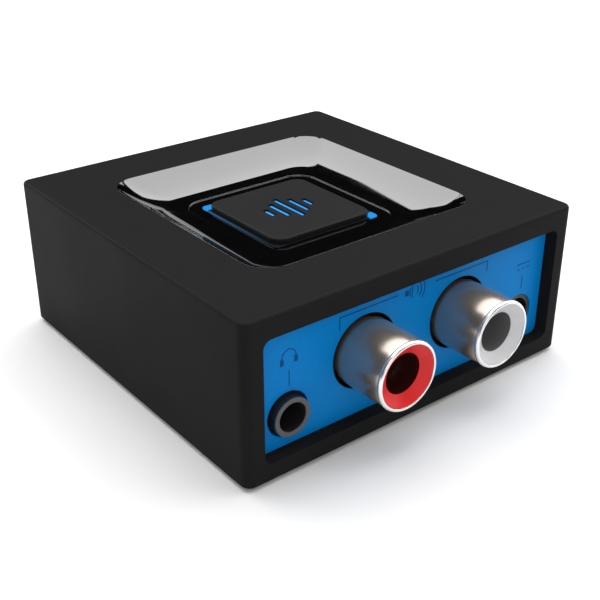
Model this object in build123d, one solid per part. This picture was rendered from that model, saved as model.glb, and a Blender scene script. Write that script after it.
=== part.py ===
from build123d import *
import math
import os

# Bluetooth audio receiver: a square box with its sockets in front and a push button on top.
# +Z is up, -Y is the front with the sockets, and +X is the right side seen from the front.
# The origin is the centre of the foot pad's underside, on the surface that the box stands on.

# ---- Driving dimensions -------------------------------------------------------------------

# Clearances and fits
seam_gap = 0.1          # between trims and what surrounds them
rim_gap = 0.05          # between the bezel's rim and the deck
slide_gap = 0.08        # each side of the sliding button
pin_gap = 0.1           # round solder tails in their board holes
rest_gap = 0.03         # between faces that meet when the button is up
screw_gap = 0.15        # round a screw in the piece that it passes through

# Housing
body_width = 50.7
body_depth = 50.7
body_height = 20.3
side_wall = 1.8
deck_t = 1.6
corner_r = 1.2
top_edge_r = 0.45
bottom_edge_r = 0.3

# Front window and connector panel
window_side = 2.5       # frame left and right of the window
window_low = 2.3        # frame under the window
window_high = 2.65      # frame over the window
window_r = 1.1
window_draft = 4.0      # degrees
window_recess = 1.7
panel_t = 1.2

# Foot pad and bottom cover
foot_stand = 0.5
foot_t = 1.0
foot_margin = 0.85
foot_r = 3.0
cover_t = 2.0
tongue_w = 6.0
tongue_t = 0.7
tongue_reach = 0.7
tongue_x = 12.0

# Screws
screw_r = 0.95
screw_head_r = 1.8
screw_head_h = 0.8
cover_screw_length = 6.0
board_screw_length = 2.0
small_screw_r = 0.7
small_head_r = 1.3
small_head_h = 0.7
small_screw_length = 3.0
recess_w = 0.45
recess_depth = 0.4
post_size = 5.3
post_h = 9.5
post_wall = 3.15        # from the inner wall to a post's screw
side_post_y = -6.5

# Dish, button and light guide
dish_size = 34.0
dish_r = 3.75
dish_depth = 2.45
dish_run = 4.5          # from the rim in to the ledge
dish_bulge = 0.37       # how far the wall bows below a straight slope
ledge_r = 3.0
well_margin = 2.0       # from the light guide's rim out to the step
well_step = 0.3
bezel_floor_t = 1.2
flange_reach = 2.6
flange_t = 1.2
stake_r = 0.8
stake_head_r = 1.4
stake_head_h = 0.5
stake_clear = 0.3       # from the dish's corner to a stake's head
cap_size = 15.4
cap_r = 1.7
cap_drop = 2.04         # the cap's top below the deck
cap_top_t = 1.0
cap_skirt_t = 1.0
cap_edge_r = 0.25
cap_travel = 0.3
cap_lip = 0.72
cap_lip_t = 0.5
guide_drop = 2.65       # the light guide's rim below the deck
guide_rim_t = 0.42
guide_r = 0.5
guide_flange = 1.8
guide_flange_t = 1.2
guide_post_r = 0.8
guide_post_inset = 0.9
diffuser_t = 0.6
stem_r = 1.5
stem_h = 0.31
stem_gap = 0.05
bar_heights = [2.2, 4.4, 6.6, 4.4, 2.2]
bar_w = 0.75
bar_pitch = 1.55
bar_sink = 0.3

# Boards
board_t = 1.0
standoff_h = 0.7
standoff_r = 2.2
board_inset = 0.65
board_margin = 2.5       # of the button board past the light guide
boss_r = 1.6
boss_inset = 1.9
boss_gap = 1.0          # from the light guide to a boss
tail_below = 0.4

# Phono jacks
phono_pitch = 14.94
phono_axis_h = 6.6
phono_r = 4.25
phono_hole_gap = 0.47
phono_wall = 0.4
phono_neck_step = 0.2
phono_collar_step = 0.35
phono_length = 7.2      # from the panel's face to the lip
phono_lip_r = 0.16
phono_seat = 6.0
phono_face_t = 0.8      # of the block over the barrel's collar
phono_block_depth = 10.25
phono_block_h = 12.3
phono_block_wall = 0.9
funnel_depth = 0.87
funnel_r = 2.5
funnel_land = 0.12
contact_inset = 4.6
contact_length = 7.0
contact_r = 2.15
contact_bore_r = 1.6
contact_pin_r = 0.6
contact_back_t = 0.8
tail_w = 1.2
tail_t = 0.6
tab_w = 2.4

# 3.5 mm jack
aux_inset = 4.35        # from the window's left side to the axis
aux_axis_h = 2.7
aux_hole_gap = 0.39
aux_nose_wall = 0.62
aux_nose_out = 0.85
aux_bore_r = 1.8
aux_body_w = 6.2
aux_body_h = 5.4
aux_body_depth = 12.6
aux_end_wall = 0.5
aux_contact_y = [3.4, 6.6, 9.8]
leaf_t = 0.3
leaf_w = 1.6
leaf_up = 0.7
slot_gap = 0.15

# Power inlet
power_inset = 4.3
power_axis_h = 2.8
power_hole_gap = 0.1
power_nose_wall = 0.45
power_bore_r = 2.05
power_body_w = 6.4
power_body_h = 5.8
power_body_depth = 11.4
power_end_wall = 1.2
power_pin_r = 0.8
power_pin_inset = 1.2
power_contact_y = 6.0

# Tact switch
switch_size = 6.0
switch_base_h = 3.2
switch_floor_t = 0.9
switch_cavity_r = 2.4
switch_cover_t = 0.3
plunger_r = 1.7
plunger_gap = 0.05
plunger_left_out = 0.5  # of the plunger when the button is down
plunger_flange_r = 2.2
plunger_flange_t = 0.65
plunger_boss_r = 0.9
dome_r = 2.2
dome_h = 0.55
dome_t = 0.12

# ---- Heights and places that follow -------------------------------------------------------

underside_z = foot_stand
deck_z = foot_stand + body_height
deck_under_z = deck_z - deck_t
foot_top_z = foot_t
cover_top_z = underside_z + cover_t
board_under_z = cover_top_z + standoff_h
board_top_z = board_under_z + board_t
tail_z = board_under_z - tail_below

front_y = -body_depth / 2
back_in_y = body_depth / 2 - side_wall
side_in_x = body_width / 2 - side_wall
panel_front_y = front_y + window_recess
panel_back_y = panel_front_y + panel_t
room_mid_y = (panel_front_y + back_in_y) / 2
room_depth = back_in_y - panel_front_y

window_width = body_width - 2 * window_side
window_height = body_height - window_low - window_high
window_z = underside_z + window_low + window_height / 2

post_x = side_in_x - post_wall
back_post_y = back_in_y - post_wall
post_top_z = cover_top_z + post_h

ledge_z = deck_z - dish_depth
well_z = ledge_z - well_step
bezel_under_z = well_z - bezel_floor_t
flange_low_z = deck_under_z - flange_t
flange_size = dish_size + 2 * flange_reach
stake_place = dish_size / 2 - dish_r * (1 - math.sqrt(0.5)) + stake_head_r + stake_clear

cap_top_z = deck_z - cap_drop
cap_under_z = cap_top_z - cap_top_t
guide_top_z = deck_z - guide_drop
guide_bore = cap_size + 2 * slide_gap
guide_size = guide_bore + 2 * guide_rim_t
guide_low_z = bezel_under_z - guide_flange_t
guide_flange_size = guide_size + 2 * guide_flange
guide_post_place = guide_flange_size / 2 - guide_post_inset
cap_lip_top_z = guide_low_z - rest_gap
cap_low_z = cap_lip_top_z - cap_lip_t
cap_room = cap_size - 2 * cap_skirt_t
well_size = guide_size + 2 * well_margin
diffuser_low_z = cap_under_z - diffuser_t
plunger_top_z = diffuser_low_z - stem_h - stem_gap
switch_top_z = plunger_top_z - cap_travel - plunger_left_out
button_board_top_z = switch_top_z - switch_cover_t - switch_base_h
button_board_under_z = button_board_top_z - board_t

phono_x = phono_pitch / 2
phono_hole_r = phono_r + phono_hole_gap
phono_neck_r = phono_r - phono_neck_step
phono_collar_r = phono_r + phono_collar_step
phono_bore_r = phono_r - phono_wall
phono_z = board_top_z + phono_axis_h
lip_y = panel_front_y - phono_length
phono_back_y = panel_back_y + phono_seat
collar_y = panel_back_y + phono_face_t
block_back_y = panel_back_y + phono_block_depth
aux_nose_r = aux_bore_r + aux_nose_wall
aux_hole_r = aux_nose_r + aux_hole_gap
power_nose_r = power_bore_r + power_nose_wall
power_hole_r = power_nose_r + power_hole_gap
aux_x = aux_inset - window_width / 2
aux_z = board_top_z + aux_axis_h
aux_face_y = panel_front_y - aux_nose_out
power_x = window_width / 2 - power_inset
power_z = board_top_z + power_axis_h

button_board_front_y = block_back_y + 2 * tail_t
button_board_back_y = guide_flange_size / 2 + board_margin
boss_x = guide_flange_size / 2 + boss_gap + boss_r
boss_front_y = button_board_front_y + boss_r
boss_back_y = button_board_back_y - boss_inset
button_board_width = 2 * (boss_x + boss_inset)
SIDES = (-1, 1)


# ---- Shapes that repeat -------------------------------------------------------------------

def slab(width, depth, z_low, z_high, radius=0.0, x=0.0, y=0.0):
    """An upright plate between two heights, with rounded corners if a radius is given."""
    outline = RectangleRounded(width, depth, radius) if radius else Rectangle(width, depth)
    return Pos(x, y, z_low) * extrude(outline, z_high - z_low)


def span(x_low, x_high, y_low, y_high, z_low, z_high):
    """A plain block between two corners."""
    middle = Pos((x_low + x_high) / 2, (y_low + y_high) / 2, (z_low + z_high) / 2)
    return middle * Box(x_high - x_low, y_high - y_low, z_high - z_low)


def rod(radius, z_low, z_high, x=0.0, y=0.0):
    """An upright cylinder between two heights."""
    return Pos(x, y, z_low) * extrude(Circle(radius), z_high - z_low)


def bar_y(radius, y_low, y_high, x, z):
    """A cylinder along Y."""
    return turned([(0, y_low), (radius, y_low), (radius, y_high), (0, y_high)], x, z)


def turned(points, x, z):
    """A solid of revolution about a line along Y, from (radius, y) points."""
    profile = make_face(Polyline(*points, close=True))
    return Pos(x, 0, z) * revolve(profile, Axis.Y)


def group(solids):
    """Separate solids kept in one node."""
    return Compound(children=list(solids))


def screw(radius, length, head_r, head_h, x, y, z, up):
    """A cross-recessed screw whose head's seat is at z and whose shank points up or down."""
    shank_end = z + up * length
    head_end = z - up * head_h
    body = rod(radius, min(z, shank_end), max(z, shank_end), x, y)
    body += rod(head_r, min(z, head_end), max(z, head_end), x, y)
    recess_end = head_end + up * recess_depth
    low, high = min(head_end, recess_end), max(head_end, recess_end)
    body -= slab(head_r * 1.2, recess_w, low, high, x=x, y=y)
    body -= slab(recess_w, head_r * 1.2, low, high, x=x, y=y)
    return body


# ---- Dish wall ----------------------------------------------------------------------------

def dish_section(t):
    """The dish's outline at fraction t of the way from the rim down to the ledge."""
    chord = math.hypot(dish_run, dish_depth)
    bow = 4 * dish_bulge * t * (1 - t)
    inward = t * dish_run - bow * dish_depth / chord
    down = t * dish_depth + bow * dish_run / chord
    size = dish_size - 2 * inward
    radius = dish_r + t * (ledge_r - dish_r)
    return Pos(0, 0, deck_z - down) * RectangleRounded(size, size, radius)


def dish_room():
    """The bowl-shaped space over the ledge."""
    steps = 4
    sections = [dish_section(i / steps) for i in range(steps + 1)]
    return loft(sections)


# ---- Housing, cover and foot --------------------------------------------------------------

def screw_posts():
    """Centres of the four posts that the cover's screws go into."""
    return [(side * post_x, y) for y in (side_post_y, back_post_y) for side in SIDES]


def tongues(gap):
    """The cover's two front tongues, or their grooves with a gap all round."""
    z = underside_z + cover_t / 2
    return [
        span(side * tongue_x - tongue_w / 2 - gap, side * tongue_x + tongue_w / 2 + gap,
             panel_front_y - tongue_reach - gap, panel_front_y + seam_gap,
             z - tongue_t / 2 - gap, z + tongue_t / 2 + gap)
        for side in SIDES
    ]


def make_housing():
    shell = slab(body_width, body_depth, underside_z, deck_z, corner_r)
    shell = fillet(shell.faces().sort_by(Axis.Z)[-1].edges(), top_edge_r)
    shell = fillet(shell.faces().sort_by(Axis.Z)[0].edges(), bottom_edge_r)
    shell -= span(-side_in_x, side_in_x, panel_front_y, back_in_y, underside_z, deck_under_z)
    opening = dish_size + 2 * rim_gap
    shell -= slab(opening, opening, deck_under_z, deck_z, dish_r + rim_gap)
    face = Plane((0, front_y, window_z), x_dir=(1, 0, 0), z_dir=(0, -1, 0))
    outline = face * RectangleRounded(window_width, window_height, window_r)
    shell -= extrude(outline, -window_recess, taper=window_draft)
    for x, y in screw_posts():
        side = math.copysign(1, x)
        block = slab(post_size, post_size, cover_top_z, post_top_z, x=x, y=y)
        block += span(min(x, side * side_in_x), max(x, side * side_in_x),
                      y - post_size / 2, y + post_size / 2, cover_top_z, post_top_z)
        if y > 0:
            block += span(x - post_size / 2, x + post_size / 2, y, back_in_y,
                          cover_top_z, post_top_z)
        shell += block
        shell -= rod(screw_r, cover_top_z, cover_top_z + cover_screw_length, x, y)
    for x, y in stake_places():
        shell += rod(stake_r, flange_low_z, deck_under_z, x, y)
        shell += rod(stake_head_r, flange_low_z - stake_head_h, flange_low_z, x, y)
    for groove in tongues(seam_gap):
        shell -= groove
    return shell


def stake_places():
    """Centres of the four heat stakes that hold the bezel's flange."""
    return [(a * stake_place, b * stake_place) for a in SIDES for b in SIDES]


def foot_outline(gap):
    width = 2 * (side_in_x - seam_gap - foot_margin + gap)
    depth = room_depth - 2 * (seam_gap + foot_margin - gap)
    return width, depth


def make_cover():
    width = 2 * (side_in_x - seam_gap)
    depth = room_depth - 2 * seam_gap
    plate = slab(width, depth, underside_z, cover_top_z, y=room_mid_y)
    foot_w, foot_d = foot_outline(rim_gap)
    plate -= slab(foot_w, foot_d, underside_z, foot_top_z, foot_r, y=room_mid_y)
    for x, y in screw_posts():
        plate -= rod(screw_r + screw_gap, foot_top_z, cover_top_z, x, y)
        plate -= rod(screw_head_r + screw_gap, foot_top_z, foot_top_z + screw_head_h, x, y)
    for tongue in tongues(0.0):
        plate += tongue
    for x, y in board_screw_places():
        plate += rod(standoff_r, cover_top_z, board_under_z, x, y)
        plate -= rod(screw_r, board_under_z - board_screw_length + board_t, board_under_z, x, y)
    return plate


def make_foot():
    width, depth = foot_outline(0.0)
    return slab(width, depth, 0, foot_top_z, foot_r, y=room_mid_y)


def make_cover_screws():
    seat_z = foot_top_z + screw_head_h
    length = cover_screw_length + cover_top_z - seat_z
    return group(
        screw(screw_r, length, screw_head_r, screw_head_h, x, y, seat_z, 1)
        for x, y in screw_posts()
    )


# ---- Bezel, light guide and button --------------------------------------------------------

def boss_places():
    return [(side * boss_x, y) for y in (boss_front_y, boss_back_y) for side in SIDES]


def make_bezel():
    bezel = slab(dish_size, dish_size, flange_low_z, deck_z, dish_r)
    bezel += slab(flange_size, flange_size, flange_low_z, deck_under_z, dish_r)
    floor_size = dish_size - 2 * dish_run + 2 * bezel_floor_t
    bezel += slab(floor_size, floor_size, bezel_under_z, ledge_z, ledge_r)
    for x, y in boss_places():
        bezel += rod(boss_r, button_board_top_z, ledge_z, x, y)
    bezel -= dish_room()
    bezel -= span(-side_in_x, side_in_x, panel_front_y, panel_back_y + seam_gap,
                  flange_low_z, deck_under_z)
    bezel -= slab(well_size, well_size, well_z, ledge_z, ledge_r)
    hole = guide_size + 2 * rim_gap
    bezel -= slab(hole, hole, bezel_under_z, well_z, guide_r + rim_gap)
    for x, y in boss_places():
        bezel -= rod(small_screw_r, button_board_top_z, button_board_top_z + small_screw_length, x, y)
    for x, y in stake_places():
        bezel -= rod(stake_r + rim_gap, flange_low_z, deck_under_z, x, y)
    return bezel


def led_places():
    return [(a * guide_post_place, b * guide_post_place) for a in SIDES for b in SIDES]


def make_guide():
    guide = slab(guide_size, guide_size, bezel_under_z, guide_top_z, guide_r)
    guide += slab(guide_flange_size, guide_flange_size, guide_low_z, bezel_under_z, guide_r)
    guide -= slab(guide_bore, guide_bore, guide_low_z, guide_top_z, cap_r + slide_gap)
    for x, y in led_places():
        guide += rod(guide_post_r, button_board_top_z + led_h + seam_gap, guide_low_z, x, y)
    return guide


def symbol_bars(z_low, z_high):
    """The five bars of the sound-level symbol."""
    middle = (len(bar_heights) - 1) / 2
    return [
        slab(bar_w, height, z_low, z_high, x=(i - middle) * bar_pitch)
        for i, height in enumerate(bar_heights)
    ]


def make_cap():
    lip_size = cap_size + 2 * cap_lip
    cap = slab(cap_size, cap_size, cap_low_z, cap_top_z, cap_r)
    cap = fillet(cap.faces().sort_by(Axis.Z)[-1].edges(), cap_edge_r)
    cap += slab(lip_size, lip_size, cap_low_z, cap_lip_top_z, cap_r + cap_lip)
    cap -= slab(cap_room, cap_room, cap_low_z, cap_under_z, cap_r - cap_skirt_t)
    for bar in symbol_bars(cap_under_z, cap_top_z):
        cap -= bar
    return cap


def make_diffuser():
    plate = slab(cap_room, cap_room, diffuser_low_z, cap_under_z, cap_r - cap_skirt_t)
    plate += rod(stem_r, diffuser_low_z - stem_h, diffuser_low_z)
    for bar in symbol_bars(cap_under_z, cap_top_z - bar_sink):
        plate += bar
    return plate


# ---- Connector panel and phono jacks ------------------------------------------------------

def make_panel():
    panel = span(-side_in_x + seam_gap, side_in_x - seam_gap, panel_front_y, panel_back_y,
                 cover_top_z + seam_gap, deck_under_z - seam_gap)
    for side in SIDES:
        panel -= bar_y(phono_hole_r, panel_front_y, panel_back_y, side * phono_x, phono_z)
    panel -= bar_y(aux_hole_r, panel_front_y, panel_back_y, aux_x, aux_z)
    panel -= bar_y(power_hole_r, panel_front_y, panel_back_y, power_x, power_z)
    return panel


def ground_tab(side, gap):
    """A barrel's flat solder tab, or its slot with a gap round it."""
    x = side * phono_x
    return span(x - tab_w / 2 - gap, x + tab_w / 2 + gap, phono_back_y - tail_t - gap,
                phono_back_y + gap, tail_z, phono_z - phono_bore_r)


def contact_tail(side, gap):
    """A centre contact's solder tail behind the block, or its board hole."""
    x = side * phono_x
    return span(x - tail_w / 2 - gap, x + tail_w / 2 + gap, block_back_y - gap,
                block_back_y + tail_t + gap, tail_z, phono_z + contact_pin_r)


def make_phono_block():
    half = phono_x + phono_collar_r + phono_block_wall
    block = span(-half, half, panel_back_y, block_back_y, board_top_z, board_top_z + phono_block_h)
    for side in SIDES:
        x = side * phono_x
        block -= bar_y(phono_neck_r, panel_back_y, collar_y, x, phono_z)
        block -= bar_y(phono_collar_r, collar_y, phono_back_y, x, phono_z)
        block -= bar_y(contact_pin_r, panel_back_y, block_back_y, x, phono_z)
        block -= ground_tab(side, pin_gap)
    return block


def make_barrel(side):
    x = side * phono_x
    barrel = turned([(phono_bore_r, lip_y), (phono_r, lip_y), (phono_r, panel_front_y),
                     (phono_neck_r, panel_front_y), (phono_neck_r, collar_y),
                     (phono_collar_r, collar_y), (phono_collar_r, phono_back_y),
                     (phono_bore_r, phono_back_y)], x, phono_z)
    lip_edges = barrel.edges().filter_by(GeomType.CIRCLE).group_by(Axis.Y)[0]
    barrel = fillet(lip_edges, phono_lip_r)
    tab = ground_tab(side, 0.0) - bar_y(phono_bore_r, lip_y, block_back_y, x, phono_z)
    return barrel + tab


def make_insulator(side):
    mouth_y = lip_y + funnel_land
    contact_y = lip_y + contact_inset
    contact_end_y = contact_y + contact_length
    return turned([(phono_bore_r, mouth_y), (phono_bore_r, phono_back_y),
                   (contact_pin_r, phono_back_y), (contact_pin_r, contact_end_y),
                   (contact_r, contact_end_y), (contact_r, contact_y), (funnel_r, contact_y),
                   (funnel_r, mouth_y + funnel_depth), (phono_bore_r - funnel_land, mouth_y)],
                  side * phono_x, phono_z)


def make_contact(side):
    contact_y = lip_y + contact_inset
    contact_end_y = contact_y + contact_length
    floor_y = contact_end_y - contact_back_t
    contact = turned([(contact_bore_r, contact_y), (contact_r, contact_y),
                      (contact_r, contact_end_y), (contact_pin_r, contact_end_y),
                      (contact_pin_r, block_back_y), (0, block_back_y), (0, floor_y),
                      (contact_bore_r, floor_y)], side * phono_x, phono_z)
    return contact + contact_tail(side, 0.0)


# ---- 3.5 mm jack --------------------------------------------------------------------------

def leaf(x, y, z, bore_r, side, gap):
    """An upright contact leaf beside a bore, or its board hole with a gap round it."""
    near = x + side * (bore_r + rim_gap - gap)
    far = x + side * (bore_r + rim_gap + leaf_t + gap)
    return span(min(near, far), max(near, far), y - leaf_w / 2 - gap, y + leaf_w / 2 + gap,
                tail_z, z + leaf_up)


def leaf_slot(x, y, z, bore_r, half_w, side):
    """The channel for a contact leaf in a jack's side, and its window into the bore."""
    near = x + side * (bore_r + rim_gap)
    far = x + side * half_w
    half = leaf_w / 2 + slot_gap
    rise = leaf_up + slot_gap
    window = span(min(x, far), max(x, far), y - half, y + half, z - rise, z + rise)
    return window + span(min(near, far), max(near, far), y - half, y + half, board_top_z, z)


def aux_stations():
    """Each contact's Y place and side of the bore: sleeve, ring and tip."""
    return [(panel_back_y + y, 1 if i % 2 else -1) for i, y in enumerate(aux_contact_y)]


def make_aux_body():
    back_y = panel_back_y + aux_body_depth
    body = span(aux_x - aux_body_w / 2, aux_x + aux_body_w / 2, panel_back_y, back_y,
                board_top_z, board_top_z + aux_body_h)
    body += bar_y(aux_nose_r, aux_face_y, panel_back_y, aux_x, aux_z)
    body -= bar_y(aux_bore_r, aux_face_y, back_y - aux_end_wall, aux_x, aux_z)
    for y, side in aux_stations():
        body -= leaf_slot(aux_x, y, aux_z, aux_bore_r, aux_body_w / 2, side)
    return body


def make_aux_contact(index):
    y, side = aux_stations()[index]
    return leaf(aux_x, y, aux_z, aux_bore_r, side, 0.0)


# ---- Power inlet --------------------------------------------------------------------------

def power_tail(gap):
    """The centre pin's solder tail behind the inlet, or its board hole."""
    back_y = panel_back_y + power_body_depth
    return span(power_x - tail_w / 2 - gap, power_x + tail_w / 2 + gap, back_y - gap,
                back_y + tail_t + gap, tail_z, power_z + power_pin_r)


def power_leaf(gap):
    return leaf(power_x, panel_back_y + power_contact_y, power_z, power_bore_r, 1, gap)


def make_power_body():
    back_y = panel_back_y + power_body_depth
    body = span(power_x - power_body_w / 2, power_x + power_body_w / 2, panel_back_y, back_y,
                board_top_z, board_top_z + power_body_h)
    body += bar_y(power_nose_r, panel_front_y + seam_gap, panel_back_y, power_x, power_z)
    body -= bar_y(power_bore_r, panel_front_y, back_y - power_end_wall, power_x, power_z)
    body -= bar_y(power_pin_r, panel_front_y, back_y, power_x, power_z)
    body -= leaf_slot(power_x, panel_back_y + power_contact_y, power_z, power_bore_r,
                      power_body_w / 2, 1)
    return body


def make_power_pin():
    back_y = panel_back_y + power_body_depth
    pin = bar_y(power_pin_r, panel_front_y + power_pin_inset, back_y, power_x, power_z)
    tip = pin.edges().filter_by(GeomType.CIRCLE).group_by(Axis.Y)[0]
    return fillet(tip, power_pin_r / 2) + power_tail(0.0)


# ---- Boards -------------------------------------------------------------------------------

header_x = 5.0
header_y = 10.2
header_pitch = 2.0
header_pins = 5
header_depth = 2.2
header_pin_r = 0.3
leg_w = 0.7
leg_t = 0.4
led_w = 2.0
led_d = 1.25
led_h = 0.7


def board_screw_places():
    """The main board's two screws at the back and one in the middle."""
    back = board_half_depth() + room_mid_y - 3.5
    return [(-1.5, back), (side_in_x - 4.8, back - 6.5), (-13.5, side_post_y + 2.6)]


def board_half_depth():
    return (back_in_y - board_inset - panel_back_y - seam_gap) / 2


def header_places():
    middle = (header_pins - 1) / 2
    return [(header_x + (i - middle) * header_pitch, header_y) for i in range(header_pins)]


def leg_places():
    half = switch_size / 2 - leg_w
    return [(a * half, b * (switch_size / 2 + leg_t / 2)) for a in SIDES for b in SIDES]


def make_main_board():
    half_w = side_in_x - board_inset
    front = panel_back_y + seam_gap
    back = back_in_y - board_inset
    board = span(-half_w, half_w, front, back, board_under_z, board_top_z)
    notch = post_size + 2 * screw_gap
    for x, y in screw_posts():
        side = math.copysign(1, x)
        outer_y = y + (post_size if y > 0 else notch / 2)
        board -= span(min(side * (abs(x) - notch / 2), side * side_in_x),
                      max(side * (abs(x) - notch / 2), side * side_in_x),
                      y - notch / 2, outer_y, board_under_z, board_top_z)
    for side in SIDES:
        board -= ground_tab(side, pin_gap)
        board -= contact_tail(side, pin_gap)
    for y, side in aux_stations():
        board -= leaf(aux_x, y, aux_z, aux_bore_r, side, pin_gap)
    board -= power_tail(pin_gap)
    board -= power_leaf(pin_gap)
    for x, y in header_places():
        board -= rod(header_pin_r + pin_gap, board_under_z, board_top_z, x, y)
    for x, y in board_screw_places():
        board -= rod(screw_r + screw_gap, board_under_z, board_top_z, x, y)
    return board


def make_board_screws():
    length = board_screw_length
    return group(
        screw(screw_r, length, screw_head_r, screw_head_h, x, y, board_top_z, -1)
        for x, y in board_screw_places()
    )


def make_button_board():
    board = span(-button_board_width / 2, button_board_width / 2, button_board_front_y,
                 button_board_back_y, button_board_under_z, button_board_top_z)
    for x, y in boss_places():
        board -= rod(small_screw_r + screw_gap, button_board_under_z, button_board_top_z, x, y)
    for x, y in header_places():
        board -= rod(header_pin_r + pin_gap, button_board_under_z, button_board_top_z, x, y)
    for x, y in leg_places():
        board -= slab(leg_w + pin_gap, leg_t + pin_gap, button_board_under_z,
                      button_board_top_z, x=x, y=y)
    return board


def make_button_board_screws():
    length = small_screw_length + board_t
    return group(
        screw(small_screw_r, length, small_head_r, small_head_h, x, y, button_board_under_z, 1)
        for x, y in boss_places()
    )


def make_header():
    width = header_pins * header_pitch + 0.5
    block = slab(width, header_depth, board_top_z, button_board_under_z, x=header_x, y=header_y)
    for x, y in header_places():
        block -= rod(header_pin_r, board_top_z, button_board_under_z, x, y)
    return block


def make_header_pins():
    top = button_board_top_z + tail_below
    return group(rod(header_pin_r, tail_z, top, x, y) for x, y in header_places())


# ---- Tact switch and lamps ----------------------------------------------------------------

def make_switch_base():
    top = button_board_top_z + switch_base_h
    base = slab(switch_size, switch_size, button_board_top_z, top)
    return base - rod(switch_cavity_r, button_board_top_z + switch_floor_t, top)


def make_switch_cover():
    low = button_board_top_z + switch_base_h
    cover = slab(switch_size, switch_size, low, switch_top_z)
    return cover - rod(plunger_r + plunger_gap, low, switch_top_z)


def make_plunger():
    flange_top = switch_top_z - switch_cover_t - rest_gap
    flange_low = flange_top - plunger_flange_t
    dome_top = button_board_top_z + switch_floor_t + dome_h + dome_t
    plunger = rod(plunger_r, flange_low, plunger_top_z)
    plunger += rod(plunger_flange_r, flange_low, flange_top)
    return plunger + rod(plunger_boss_r, dome_top + rest_gap, flange_low)


def make_dome():
    """A shallow domed disc whose rim stands on the cavity's floor."""
    floor_z = button_board_top_z + switch_floor_t
    outer = dome_cap(dome_h + dome_t, dome_r)
    inner = dome_cap(dome_h, dome_r - dome_t)
    return Pos(0, 0, floor_z) * (outer - inner)


def dome_cap(height, radius):
    """The slice of a ball with this height and this rim radius."""
    ball_r = (radius ** 2 + height ** 2) / (2 * height)
    ball = Pos(0, 0, height - ball_r) * Sphere(ball_r)
    return ball & (Pos(0, 0, height / 2) * Cylinder(radius * 1.5, height))


def make_switch_legs():
    low = button_board_under_z - tail_below
    high = button_board_top_z + switch_floor_t
    return group(slab(leg_w, leg_t, low, high, x=x, y=y) for x, y in leg_places())


def make_leds():
    top = button_board_top_z + led_h
    return group(slab(led_w, led_d, button_board_top_z, top, x=x, y=y) for x, y in led_places())


# ---- Components on the main board ---------------------------------------------------------

lead_w = 0.4
lead_t = 0.18
lead_out = 0.95
lead_foot = 0.5
radio_w = 12.5
radio_d = 17.0
radio_t = 0.8
radio_x = -9.6
radio_y = 11.2
shield_size = 11.0
shield_h = 1.7
shield_t = 0.2
shield_shift = -2.4
radio_chip_size = 6.0
radio_chip_h = 0.9
antenna_w = 7.0
antenna_d = 2.0
antenna_h = 1.2
antenna_shift = 6.3
can_r = 2.5
can_h = 5.4
can_base = 5.3
can_base_h = 0.9
can_groove = 0.15
capacitor_size = (1.6, 0.8, 0.8)
resistor_size = (1.6, 0.8, 0.45)

# Each chip: centre x, centre y, body width, body depth, body height, leads a side, lead pitch
converter = (5.0, 2.0, 6.6, 4.4, 1.2, 10, 0.65)
amplifier = (-3.0, -6.4, 5.0, 3.9, 1.5, 4, 1.27)
memory = (7.5, 17.2, 5.0, 3.9, 1.5, 4, 1.27)
regulator = (12.9, 4.2, 3.2, 3.4, 1.5, 2, 1.6)
can_places = [(4.0, -6.6), (10.2, -6.6), (19.3, -0.4), (19.3, 5.8)]
inductor = (14.4, 10.9, 4.2, 4.2, 2.2)
crystal = (-19.4, 12.0, 2.5, 3.2, 0.9)
capacitor_places = [(-19.4, 15.2), (-19.4, 9.0), (-19.4, 6.4), (0.2, 3.6), (0.2, 0.6), (9.9, 0.8),
                    (9.9, 7.2), (3.2, 15.4), (3.2, 19.0), (12.2, 15.6), (12.2, 18.6), (-9.0, -3.6)]
resistor_places = [(-19.4, 3.8), (-19.4, 1.4), (-19.4, -1.0), (-9.0, -6.2), (-9.0, -8.4), (15.6, 0.8),
                   (0.8, 15.4), (-14.4, -0.8), (-12.0, -0.8), (-9.6, -0.8), (-5.2, -0.8), (-2.4, -0.8)]


def on_board(x, y, width, depth, height, low=0.0):
    """A block that stands on the main board, or at a height above it."""
    return slab(width, depth, board_top_z + low, board_top_z + low + height, x=x, y=y)


def chip_body(chip):
    x, y, width, depth, height, _, _ = chip
    return on_board(x, y, width, depth, height - rest_gap, rest_gap)


def chip_leads(chip):
    """Gull-wing leads along a chip's front and back."""
    x, y, _, depth, height, count, pitch = chip
    knee = height / 2
    shape = Polyline((0, knee), (lead_out - lead_foot, knee), (lead_out - lead_foot, 0),
                     (lead_out, 0), (lead_out, lead_t), (lead_out - lead_foot + lead_t, lead_t),
                     (lead_out - lead_foot + lead_t, knee + lead_t), (0, knee + lead_t), close=True)
    leads = []
    for side in SIDES:
        for i in range(count):
            place = x + (i - (count - 1) / 2) * pitch
            start = (place - side * lead_w / 2, y + side * depth / 2, board_top_z)
            plane = Plane(start, x_dir=(0, side, 0), z_dir=(side, 0, 0))
            leads.append(extrude(plane * make_face(shape), lead_w))
    return group(leads)


def make_shield():
    low = board_top_z + radio_t
    y = radio_y + shield_shift
    inside = shield_size - 2 * shield_t
    shield = slab(shield_size, shield_size, low, low + shield_h, x=radio_x, y=y)
    return shield - slab(inside, inside, low, low + shield_h - shield_t, x=radio_x, y=y)


def make_cans():
    """Aluminium capacitor cans, each with its crimp groove."""
    cans = []
    for x, y in can_places:
        low = board_top_z + can_base_h
        can = rod(can_r, low, board_top_z + can_h, x, y)
        groove = rod(can_r, low + can_base_h, low + 1.4, x, y)
        groove -= rod(can_r - can_groove, low + can_base_h, low + 1.4, x, y)
        cans.append(can - groove)
    return group(cans)


def make_passives(places, size):
    return group(on_board(x, y, *size) for x, y in places)


# ---- Export -------------------------------------------------------------------------------

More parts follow.
